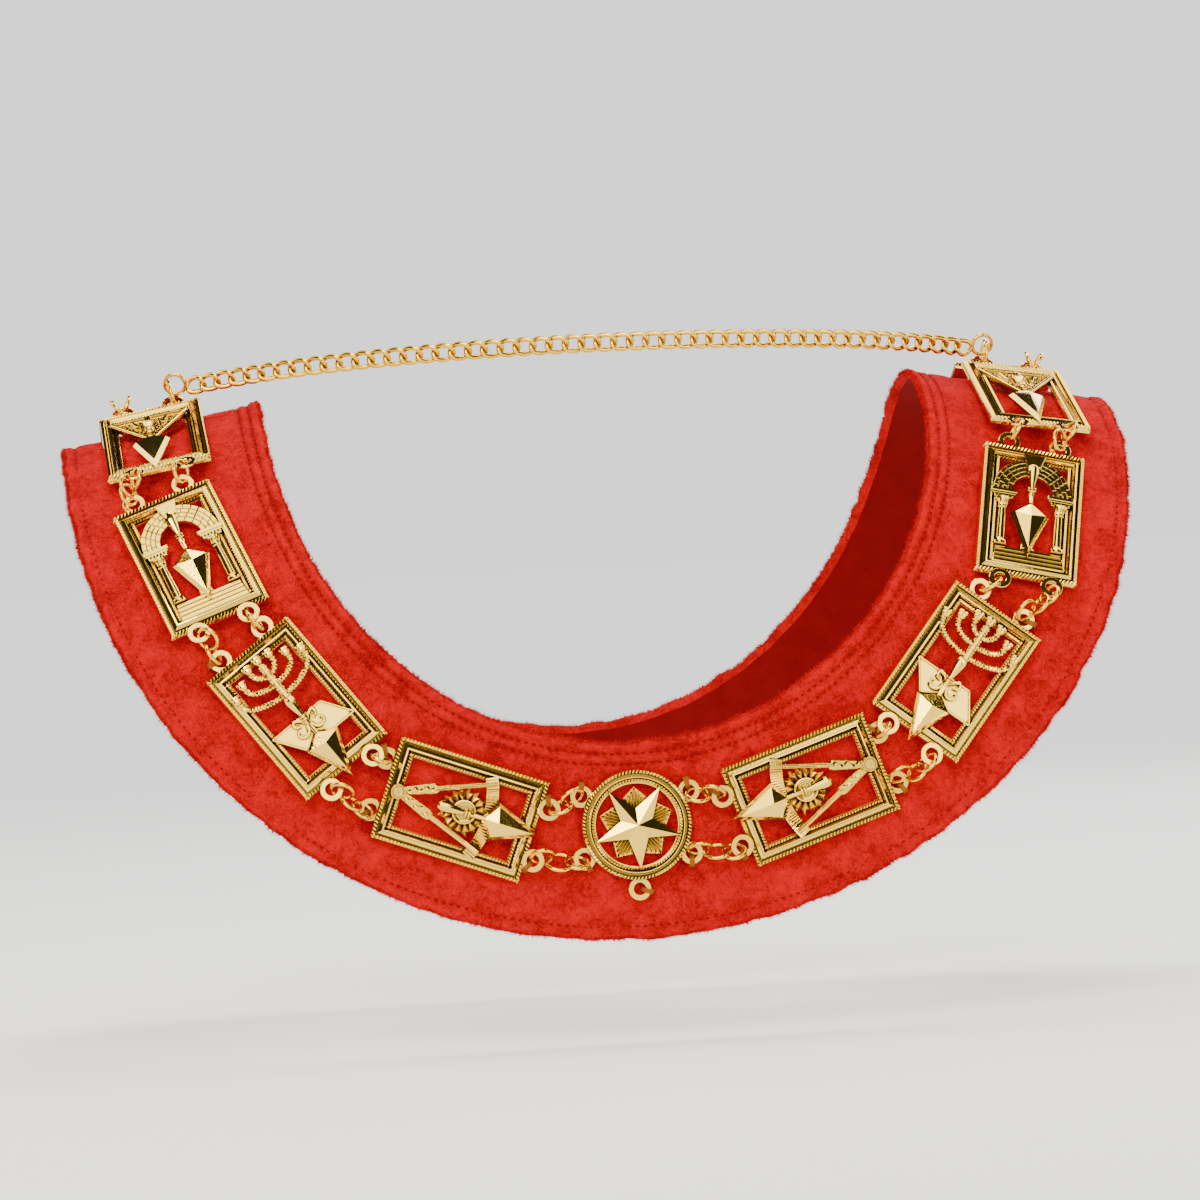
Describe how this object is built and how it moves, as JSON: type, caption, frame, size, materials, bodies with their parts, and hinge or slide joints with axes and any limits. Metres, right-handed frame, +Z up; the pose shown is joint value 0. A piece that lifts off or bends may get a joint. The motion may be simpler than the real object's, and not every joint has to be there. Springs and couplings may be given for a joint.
{
  "type": "chain of office",
  "caption": "Ceremonial chain of office: a red velvet collar carrying openwork gilt plaques and star medallions joined by jump rings, with a curb chain across the nape.",
  "frame": {"origin": "midway between the two shoulder ridges of the collar, at the height of their inner edges", "axes": "+X towards the right shoulder of the shown side as seen, +Z up, the shown hanging side faces -Y"},
  "size_m": [0.4316, 0.2682, 0.2419],
  "materials": {
    "red_velvet": "crushed cotton velvet with a short lying nap, stitched along its edges",
    "gilt_castings": "cast brass, gilded pale and polished, darker in the recesses",
    "gilt_wire": "drawn brass wire, gilded yellow and polished"
  },
  "bodies": {
    "root": {"chain_ring_left": "gilt_wire", "chain_ring_right": "gilt_wire", "curb_chain": "gilt_wire", "medallion_front": "gilt_castings", "medallion_rear": "gilt_castings", "plaque_left_1_compasses": "gilt_castings", "plaque_left_2_candlestick": "gilt_castings", "plaque_left_3_arch": "gilt_castings", "plaque_left_4_triangle": "gilt_castings", "plaque_left_5_compasses": "gilt_castings", "plaque_left_6_candlestick": "gilt_castings", "plaque_left_7_arch": "gilt_castings", "plaque_left_8_triangle": "gilt_castings", "plaque_right_1_compasses": "gilt_castings", "plaque_right_2_candlestick": "gilt_castings", "plaque_right_3_arch": "gilt_castings", "plaque_right_4_triangle": "gilt_castings", "plaque_right_5_compasses": "gilt_castings", "plaque_right_6_candlestick": "gilt_castings", "plaque_right_7_arch": "gilt_castings", "plaque_right_8_triangle": "gilt_castings", "rings_10_inner": "gilt_wire", "rings_10_outer": "gilt_wire", "rings_11_inner": "gilt_wire", "rings_11_outer": "gilt_wire", "rings_12_inner": "gilt_wire", "rings_12_outer": "gilt_wire", "rings_13_inner": "gilt_wire", "rings_13_outer": "gilt_wire", "rings_14_inner": "gilt_wire", "rings_14_outer": "gilt_wire", "rings_15_inner": "gilt_wire", "rings_15_outer": "gilt_wire", "rings_16_inner": "gilt_wire", "rings_16_outer": "gilt_wire", "rings_17_inner": "gilt_wire", "rings_17_outer": "gilt_wire", "rings_18_inner": "gilt_wire", "rings_18_outer": "gilt_wire", "rings_1_inner": "gilt_wire", "rings_1_outer": "gilt_wire", "rings_2_inner": "gilt_wire", "rings_2_outer": "gilt_wire", "rings_3_inner": "gilt_wire", "rings_3_outer": "gilt_wire", "rings_4_inner": "gilt_wire", "rings_4_outer": "gilt_wire", "rings_5_inner": "gilt_wire", "rings_5_outer": "gilt_wire", "rings_6_inner": "gilt_wire", "rings_6_outer": "gilt_wire", "rings_7_inner": "gilt_wire", "rings_7_outer": "gilt_wire", "rings_8_inner": "gilt_wire", "rings_8_outer": "gilt_wire", "rings_9_inner": "gilt_wire", "rings_9_outer": "gilt_wire", "velvet_collar": "red_velvet"}
  },
  "joints": []
}
